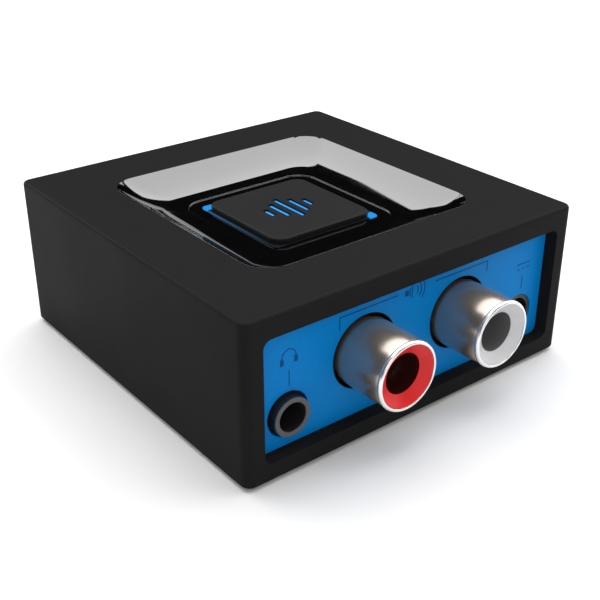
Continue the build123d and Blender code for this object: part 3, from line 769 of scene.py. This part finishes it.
@dataclass
class DishBezel:
    """The glossy dish round the button, with its flange, its step and its four screw bosses."""

    paint: PaintBox
    rim_half: float = 17.0
    rim_radius: float = 3.75
    rim_round: float = 0.012
    deck: float = 20.8
    ledge: float = 18.2
    ledge_half: float = 12.5
    ledge_radius: float = 3.0
    bulge: float = 0.41
    fall: float = 0.01
    wall_steps: int = 48
    well: float = 18.05
    well_half: float = 10.2
    step_round: float = 0.03
    hole_half: float = 8.25
    hole_radius: float = 0.55
    underside: float = 16.85
    floor_half: float = 13.7
    flange_low: float = 18.0
    flange_high: float = 19.2
    flange_half: float = 19.6
    stake_place: float = 17.6017
    stake_hole: float = 0.85
    boss_x: float = 12.6
    boss_rows: Pair = (-9.4, 10.6)
    boss_radius: float = 1.6
    boss_low: float = 12.5
    screw_radius: float = 0.7
    screw_depth: float = 3.0
    tool_steps: int = 48
    smooth_angle: float = 40.0

    def wall(self) -> list[Outline]:
        """The dish's bowed wall from its rounded rim down to the ledge."""
        run, drop = self.rim_half - self.ledge_half, self.deck - self.ledge
        chord = math.hypot(run, drop)
        outlines = []
        for i in range(1, self.wall_steps + 1):
            t = i / self.wall_steps
            bow = 4 * self.bulge * t * (1 - t)
            inward = t * run - bow * drop / chord
            down = t * drop + bow * run / chord
            radius = self.rim_radius + t * (self.ledge_radius - self.rim_radius)
            outlines.append(square(self.rim_half - inward, radius, self.deck - down))
        return outlines

    def section(self) -> list[Outline]:
        """Every outline round the bezel's wall, from under the rim and back to it."""
        rim, soft, brink = self.rim_round, self.step_round, self.ledge - self.fall
        lip = [square(self.rim_half - rim + dx, self.rim_radius - rim + dx, self.deck - rim + dz)
               for dx, dz in arc((0, 0), (rim, rim), 0, 90, ROUND_STEPS)]
        top_edge = [square(self.well_half + soft - dx, self.ledge_radius, brink - soft + dz)
                    for dx, dz in arc((0, 0), (soft, soft), 90, 0, ROUND_STEPS)]
        low_edge = [square(self.well_half - soft + dx, self.ledge_radius, self.well + soft - dz)
                    for dx, dz in arc((0, 0), (soft, soft), 0, 90, ROUND_STEPS)]
        return [
            square(self.rim_half, self.rim_radius, self.flange_high + self.fall),
            *lip, *self.wall(), *top_edge, *low_edge,
            square(self.hole_half, self.hole_radius, self.well - self.fall),
            square(self.hole_half, self.hole_radius, self.underside),
            square(self.floor_half, self.ledge_radius, self.underside + self.fall),
            square(self.floor_half, self.ledge_radius, self.flange_low - self.fall),
            square(self.flange_half, self.rim_radius, self.flange_low),
            square(self.flange_half, self.rim_radius, self.flange_high),
        ]

    def post(self, x: float, y: float, radius: float, low: float, high: float) -> bpy.types.Object:
        """A plain upright tool that adds a boss or cuts a hole.

        Args:
            x: The tool's X place.
            y: The tool's Y place.
            radius: The tool's radius.
            low: The height of its lower end.
            high: The height of its upper end.

        Returns:
            The tool.
        """
        bpy.ops.object.select_all(action="DESELECT")
        middle = (x * MM, y * MM, (low + high) / 2 * MM)
        bpy.ops.mesh.primitive_cylinder_add(vertices=self.tool_steps, radius=radius * MM,
                                            depth=(high - low) * MM, location=middle)
        bpy.ops.object.transform_apply(location=True, rotation=True, scale=True)
        return bpy.context.active_object

    def build(self) -> bpy.types.Object:
        """Make and dress the bezel."""
        work = loft("dish_bezel", self.section(), closed=True)
        work.done(self.smooth_angle)
        for side in (-1, 1):
            for y in self.boss_rows:
                boss = self.post(side * self.boss_x, y, self.boss_radius, self.boss_low,
                                 (self.underside + self.well) / 2)
                work.cut(boss, "UNION")
                work.cut(self.post(side * self.boss_x, y, self.screw_radius,
                                   self.boss_low - self.screw_radius,
                                   self.boss_low + self.screw_depth))
            for end in (-1, 1):
                work.cut(self.post(side * self.stake_place, end * self.stake_place,
                                   self.stake_hole, self.flange_low - self.stake_hole,
                                   self.flange_high + self.stake_hole))
        bpy.ops.object.shade_smooth_by_angle(angle=math.radians(self.smooth_angle))
        self.paint.dress(work.piece, Finish.BEZEL)
        return settle(work.piece, "bezel_gloss", "top_bezel")


class Side(Enum):
    """Which of the two phono sockets, by the sign of its X place."""

    LEFT = -1
    RIGHT = 1


@dataclass
class PhonoJack:
    """One phono socket's plated barrel with its rolled lip, and a near-black ring round its root
    that fills the gap in the panel's hole as painted shade.
    """

    paint: PaintBox
    side: Side
    pitch: float = 14.94
    z: float = 10.8
    barrel_radius: float = 4.25
    bore_radius: float = 3.85
    neck_radius: float = 4.05
    collar_radius: float = 4.6
    lip_y: float = -30.85
    taper_run: float = 2.2
    bead: Pair = (0.25, 0.33)
    bead_start: float = 85.0
    bead_steps: int = 12
    taper_steps: int = 12
    inner_round: float = 0.08
    turn_steps: int = 128
    panel_front: float = -23.65
    panel_back: float = -22.45
    collar_front: float = -21.65
    back: float = -16.45
    tab_width: float = 2.4
    tab_thick: float = 0.6
    tab_low: float = 2.8
    tab_gap: float = 0.1
    tab_round: float = 0.2
    # the near-black ring in the hole's gap, which stands in for the shade there (painted shade)
    gap_shade_radius: float = 4.71
    gap_shade_wall: float = 0.12
    gap_shade_inset: float = 0.03

    @property
    def x(self) -> float:
        """The socket's X place."""
        return self.side.value * self.pitch / 2

    @property
    def word(self) -> str:
        """The side's word in the names of pieces and nodes."""
        return self.side.name.lower()

    def barrel_section(self) -> list[Pair]:
        """The barrel's wall: collar, neck, body that draws in behind the rolled lip, and bore."""
        bead_r, bead_y = self.bead
        middle = (self.barrel_radius - bead_r, self.lip_y + bead_y)
        bead = arc(middle, self.bead, self.bead_start, -90, self.bead_steps)
        root_y = bead[0][1] + self.taper_run
        narrowing = self.barrel_radius - bead[0][0]
        body = [(self.barrel_radius - narrowing * (i / self.taper_steps) ** 2,
                 root_y - self.taper_run * i / self.taper_steps) for i in range(self.taper_steps)]
        inner = self.inner_round
        mouth = arc((self.bore_radius + inner, self.lip_y + inner), (inner, inner), -90, -180,
                    ROUND_STEPS)
        return [(self.bore_radius, self.back), (self.collar_radius, self.back),
                (self.collar_radius, self.collar_front), (self.neck_radius, self.collar_front),
                (self.neck_radius, self.panel_front), (self.barrel_radius, self.panel_front),
                *body, *bead, *mouth]

    def tab(self) -> bpy.types.Object:
        """The flat solder tab under the barrel's back end, with rounded tip corners."""
        high = self.z - self.bore_radius - self.tab_gap
        work = Workpiece("tab", lambda: bpy.ops.mesh.primitive_cube_add(size=MM))
        bpy.ops.transform.resize(value=(self.tab_width, self.tab_thick, high - self.tab_low))
        bpy.ops.transform.translate(value=(self.x * MM, (self.back - self.tab_thick / 2) * MM,
                                           (high + self.tab_low) / 2 * MM))
        work.pick(lambda place: place.z < (self.tab_low + self.tab_round / 2) * MM)
        bpy.ops.mesh.bevel(offset=self.tab_round * MM, segments=2, affect="VERTICES")
        return work.done()

    def build(self) -> None:
        """Make and dress the barrel and the near-black ring of painted shade in the hole's gap."""
        work = lathe(f"phono_shell_{self.word}", self.barrel_section(), self.x, self.z,
                     self.turn_steps)
        work.done()
        work.cut(self.tab(), "UNION")
        bpy.ops.object.shade_smooth_by_angle(angle=math.radians(SMOOTH_ANGLE))
        self.paint.dress(work.piece, Finish.BARREL)
        settle(work.piece, "nickel", f"phono_barrel_{self.word}")
        front = self.panel_front + self.gap_shade_inset
        inside = self.gap_shade_radius - self.gap_shade_wall
        # painted shade: a thin near-black ring that fills the gap round the barrel
        sleeve = lathe(f"phono_gap_shade_{self.word}", [
            (inside, self.panel_back), (inside, front), (self.gap_shade_radius, front),
            (self.gap_shade_radius, self.panel_back)], self.x, self.z)
        piece = sleeve.done()
        self.paint.dress(piece, Finish.SLEEVE)
        settle(piece, "jack_black")


@dataclass
class HeadphoneBush:
    """The grey bush in the mouth of the 3.5 mm socket."""

    paint: PaintBox
    x: float = -18.5
    z: float = 6.9
    face_y: float = -24.5
    outer_radius: float = 2.42
    bore_radius: float = 1.8
    proud: float = 0.12
    round_r: float = 0.1
    round_steps: int = 5

    def build(self) -> None:
        """Make and dress the bush."""
        front, soft, steps = self.face_y - self.proud, self.round_r, self.round_steps
        outer = arc((self.outer_radius - soft, front + soft), (soft, soft), 0, -90, steps)
        inner = arc((self.bore_radius + soft, front + soft), (soft, soft), -90, -180, steps)
        work = lathe("headphone_bush", [(self.bore_radius, self.face_y),
                                        (self.outer_radius, self.face_y), *outer, *inner],
                     self.x, self.z)
        piece = work.done()
        self.paint.dress(piece, Finish.BUSH)
        settle(piece, "jack_black")


@dataclass
class PanelMarks:
    """The thin raised marks on the socket panel: ticks, a bracket and three plain pictograms."""

    paint: PaintBox
    face_y: float = -23.65
    line: float = 0.13
    proud: float = 0.02
    arc_steps: int = 16
    headphones_at: Pair = (-18.3, 14.0)
    band_radius: float = 0.95
    cup_half: float = 0.24
    cup_low: float = 0.85
    cup_high: float = 0.05
    speaker_at: Pair = (0.3, 16.1)
    magnet: Triple = (-1.9, -1.3, 0.35)                     # left, right, half height
    horn: tuple[Pair, ...] = ((-0.75, 0.8), (-1.1, 0.55))   # place, half height
    waves_x: float = -0.6
    waves: Triple = (0.75, 1.3, 1.85)                       # radii
    wave_sweep: float = 84.0
    current_at: Pair = (19.0, 13.6)
    current_half: float = 1.2
    current_rise: float = 0.35
    dash_pitch: float = 0.9
    dash_half: float = 0.3
    # x, low and high of each upright line, and z, left and right of each level one
    ticks: tuple[Triple, ...] = ((-18.3, 10.4, 12.4), (-11.3, 14.7, 16.3), (12.1, 14.9, 16.3),
                                 (19.0, 10.4, 12.2))
    brackets: tuple[Triple, ...] = ((16.3, -11.3, -2.7), (16.3, 3.3, 12.1))

    def bar(self, x_low: float, x_high: float, z_low: float, z_high: float) -> None:
        """Add one straight mark to the mesh in edit mode.

        Args:
            x_low: Its left edge.
            x_high: Its right edge.
            z_low: Its lower edge.
            z_high: Its upper edge.
        """
        middle = Vector(((x_low + x_high) / 2, self.face_y, (z_low + z_high) / 2)) * MM
        bpy.ops.mesh.primitive_cube_add(size=MM, location=middle)
        bpy.ops.transform.resize(value=(x_high - x_low, 2 * self.proud, z_high - z_low),
                                 center_override=middle)

    def upright(self, x: float, low: float, high: float) -> None:
        """Add an upright line."""
        self.bar(x - self.line / 2, x + self.line / 2, low, high)

    def level(self, z: float, left: float, right: float) -> None:
        """Add a level line."""
        self.bar(left, right, z - self.line / 2, z + self.line / 2)

    def bow(self, x: float, z: float, radius: float, start: float, sweep: float) -> None:
        """Add a curved line by spinning its square section.

        Args:
            x: The curve's centre along X.
            z: The curve's centre along Z.
            radius: The curve's radius.
            start: Where it starts, in degrees up from +X.
            sweep: How far it turns, in degrees.
        """
        turn = math.radians(start)
        spoke = Vector((math.cos(turn), 0.0, math.sin(turn)))
        middle = Vector((x, self.face_y, z)) * MM
        place = middle + spoke * radius * MM
        bpy.ops.mesh.primitive_plane_add(size=self.line * MM, location=place,
                                         rotation=(0.0, -turn, 0.0))
        bpy.ops.transform.resize(value=(1.0, 2 * self.proud / self.line, 1.0),
                                 center_override=place)
        bpy.ops.mesh.spin(steps=self.arc_steps, angle=math.radians(sweep), center=middle,
                          axis=(0.0, 1.0, 0.0))

    def headphones(self, x: float, z: float) -> None:
        """Add a headband over two ear cups."""
        self.bow(x, z, self.band_radius, 0.0, 180.0)
        for side in (-1, 1):
            cup = x + side * self.band_radius
            self.bar(cup - self.cup_half, cup + self.cup_half, z - self.cup_low, z - self.cup_high)

    def speaker(self, x: float, z: float) -> None:
        """Add a loudspeaker's outline and three sound waves."""
        left, right, half = self.magnet
        self.bar(x + left, x + right, z - half, z + half)
        for away, half in self.horn:
            self.upright(x + away, z - half, z + half)
        for radius in self.waves:
            self.bow(x + self.waves_x, z, radius, -self.wave_sweep / 2, self.wave_sweep)

    def direct_current(self, x: float, z: float) -> None:
        """Add a line over three dashes."""
        self.level(z + self.current_rise, x - self.current_half, x + self.current_half)
        for i in (-1, 0, 1):
            middle = x + i * self.dash_pitch
            self.level(z - self.current_rise, middle - self.dash_half, middle + self.dash_half)

    def build(self) -> None:
        """Make and dress all the marks as one piece."""
        work = Workpiece("panel_marks", lambda: bpy.ops.mesh.primitive_plane_add(size=MM))
        bpy.ops.mesh.delete(type="VERT")
        self.headphones(*self.headphones_at)
        self.speaker(*self.speaker_at)
        self.direct_current(*self.current_at)
        for x, low, high in self.ticks:
            self.upright(x, low, high)
        for z, left, right in self.brackets:
            self.level(z, left, right)
        piece = work.done()
        self.paint.dress(piece, Finish.INK)
        settle(piece, "panel_blue")


@dataclass
class FootPad:
    """The rubber foot: rounded edges, a shallow field and rows of low studs in it."""

    paint: PaintBox
    half_x: float = 22.6
    half_y: float = 22.65
    middle_y: float = -0.05
    corner: float = 3.0
    top: float = 1.0
    soft: float = 0.25
    border: float = 1.6
    sink: float = 0.22
    stud_radius: float = 0.55
    stud_pitch: float = 1.9
    stud_rows: int = 21
    stud_steps: int = 12
    stud_round: float = 0.12
    stud_recess: float = 0.02
    least_corner: float = 0.4
    corner_steps: int = 10

    def ring(self, inset: float, height: float) -> Outline:
        """The pad's outline at an inset and a height."""
        corner = max(self.corner - inset, self.least_corner)
        return Outline(self.half_x - inset, self.half_y - inset, corner, height, self.middle_y,
                       self.corner_steps)

    def studs(self) -> bpy.types.Object:
        """One low stud repeated in rows and columns."""
        reach = (self.stud_rows - 1) / 2 * self.stud_pitch
        depth = 2 * self.sink - 2 * self.stud_recess
        start = (-reach * MM, (self.middle_y - reach) * MM, self.sink * MM)
        work = Workpiece("studs", lambda: bpy.ops.mesh.primitive_cylinder_add(
            vertices=self.stud_steps, radius=self.stud_radius * MM, depth=depth * MM,
            location=start))
        work.pick_faces(lambda centre, normal: normal.z < -0.9)
        bpy.ops.mesh.bevel(offset=self.stud_round * MM, segments=2)
        work.done()
        for axis in ((1.0, 0.0, 0.0), (0.0, 1.0, 0.0)):
            work.modify("ARRAY", count=self.stud_rows, use_relative_offset=False,
                        use_constant_offset=True,
                        constant_offset_displace=[a * self.stud_pitch * MM for a in axis])
        return work.piece

    def build(self) -> None:
        """Make and dress the pad."""
        edge = [self.ring(self.soft - dx, self.soft - dz)
                for dx, dz in arc((0, 0), (self.soft, self.soft), 0, 90, ROUND_STEPS)]
        work = loft("foot_pad_studded", [
            self.ring(0.0, self.top), *edge, self.ring(self.border, 0.0),
            self.ring(self.border + self.sink, self.sink)], closed=False)
        pad = work.done()
        studs = self.studs()
        bpy.ops.object.select_all(action="DESELECT")
        studs.select_set(True)
        pad.select_set(True)
        bpy.context.view_layer.objects.active = pad
        bpy.ops.object.join()
        self.paint.dress(pad, Finish.FOOT)
        settle(pad, "foot_rubber", "foot_pad")


# ---- Studio -------------------------------------------------------------------------------

@dataclass(frozen=True)
class Softbox:
    """One rectangular area light, hidden from the camera itself."""

    name: str
    centre: Point
    aim: Point
    width: float
    height: float
    radiance: float

    def place(self) -> None:
        """Add the light at its centre, facing its aim."""
        bpy.ops.object.light_add(type="AREA", location=self.centre)
        lamp = bpy.context.active_object
        lamp.name = self.name
        facing = Vector(self.aim) - Vector(self.centre)
        lamp.rotation_euler = facing.to_track_quat("-Z", "Y").to_euler()
        lamp.visible_camera = False
        lamp.data.shape = "RECTANGLE"
        lamp.data.size = self.width
        lamp.data.size_y = self.height
        lamp.data.energy = self.radiance * math.pi * self.width * self.height


def flat_softbox(name: str, left: float, right: float, front: float, back: float, height: float,
                 radiance: float) -> Softbox:
    """A level softbox over a rectangle of the floor, facing straight down.

    Args:
        name: The light's name.
        left: The rectangle's lowest X.
        right: The rectangle's highest X.
        front: The rectangle's lowest Y.
        back: The rectangle's highest Y.
        height: How high it hangs.
        radiance: Its brightness.

    Returns:
        The softbox.
    """
    middle = ((left + right) / 2, (front + back) / 2)
    return Softbox(name, (*middle, height), (*middle, 0.0), right - left, back - front, radiance)


@dataclass
class Studio:
    """The floor, the lights and the camera."""

    azimuth: float = -38.23
    elevation: float = 27.63
    distance: float = 0.13518
    target: Point = (-0.00075, -0.00326, 0.00672)
    lens_mm: float = 61.29
    sensor_mm: float = 36.0
    clip: Pair = (0.005, 20.0)
    floor_size: float = 6.0
    floor_colour: Colour = (0.7, 0.7, 0.705, 1)
    ambient: float = 0.36
    reflected: float = 0.008
    sky: Point = (1.0, 1.0, 1.0)
    lights: list[Softbox] = field(default_factory=lambda: [
        flat_softbox("right_ceiling", 0.2, 0.6, -0.5, 0.5, 0.5, 3.0),
        flat_softbox("back_ceiling", -0.6, 0.2, 0.3, 0.7, 0.5, 3.0),
        flat_softbox("middle_ceiling", -0.22, 0.2, -0.18, 0.3, 0.5, 3.0),
        Softbox("right_wall", (0.72, -0.12, 0.29), (0.0, -0.12, 0.29), 0.8, 0.42, 2.2),
        Softbox("back_wall", (-0.27, 0.72, 0.26), (-0.27, 0.0, 0.26), 0.66, 0.48, 2.2),
        Softbox("front_fill", (-0.35, -0.75, 0.5), (0.0, 0.0, 0.0), 0.8, 0.8, 1.45),
    ])

    def build(self) -> None:
        """Make the whole studio."""
        self.add_floor()
        for lamp in self.lights:
            lamp.place()
        self.add_camera()
        self.set_world()
        log.info("studio: %d lights", len(self.lights))

    def add_floor(self) -> None:
        """Add the pale floor that the receiver stands on."""
        bpy.ops.object.select_all(action="DESELECT")
        bpy.ops.mesh.primitive_plane_add(size=self.floor_size, location=(0, 0, 0))
        floor = bpy.context.active_object
        floor.name = "studio_floor"
        graph = Graph("studio_paper")
        graph.surface(Base_Color=self.floor_colour, Roughness=0.9, Specular_IOR_Level=0.1)
        floor.data.materials.append(graph.material)

    def add_camera(self) -> None:
        """Add the camera at its bearing from the target."""
        turn, lift = math.radians(self.azimuth), math.radians(self.elevation)
        back = Vector((math.sin(turn) * math.cos(lift), -math.cos(turn) * math.cos(lift),
                       math.sin(lift)))
        bpy.ops.object.camera_add(location=Vector(self.target) + back * self.distance)
        camera = bpy.context.active_object
        camera.name = "studio_camera"
        camera.rotation_euler = (-back).to_track_quat("-Z", "Y").to_euler()
        camera.data.lens = self.lens_mm
        camera.data.sensor_width = self.sensor_mm
        camera.data.clip_start, camera.data.clip_end = self.clip
        bpy.context.scene.camera = camera

    def set_world(self) -> None:
        """Show a pale backdrop that fills matt surfaces softly and leaves reflections dark."""
        world = bpy.data.worlds.new("studio_world")
        world.use_nodes = True
        nodes, links = world.node_tree.nodes, world.node_tree.links
        nodes.clear()
        paths = nodes.new("ShaderNodeLightPath")
        fill = nodes.new("ShaderNodeMapRange")
        fill.inputs["To Min"].default_value = self.reflected
        fill.inputs["To Max"].default_value = self.ambient
        links.new(paths.outputs["Is Diffuse Ray"], fill.inputs["Value"])
        seen = nodes.new("ShaderNodeMath")
        seen.operation = "MAXIMUM"
        links.new(paths.outputs["Is Camera Ray"], seen.inputs[0])
        links.new(fill.outputs["Result"], seen.inputs[1])
        glow = nodes.new("ShaderNodeBackground")
        glow.inputs["Color"].default_value = (*self.sky, 1)
        output = nodes.new("ShaderNodeOutputWorld")
        links.new(seen.outputs["Value"], glow.inputs["Strength"])
        links.new(glow.outputs["Background"], output.inputs["Surface"])
        bpy.context.scene.world = world
        bpy.context.scene.view_settings.view_transform = "Standard"


def main() -> None:
    """Dress the frame, build the pieces and the studio."""
    logging.basicConfig(level=logging.INFO)
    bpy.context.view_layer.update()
    paint = PaintBox()
    for finish, names in FINISH_NODES.items():
        for name in names.split():
            paint.dress(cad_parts[name], finish)
    DishBezel(paint).build()
    for side in Side:
        PhonoJack(paint, side).build()
    HeadphoneBush(paint).build()
    PanelMarks(paint).build()
    FootPad(paint).build()
    Studio().build()


if __name__ == "__main__":
    main()
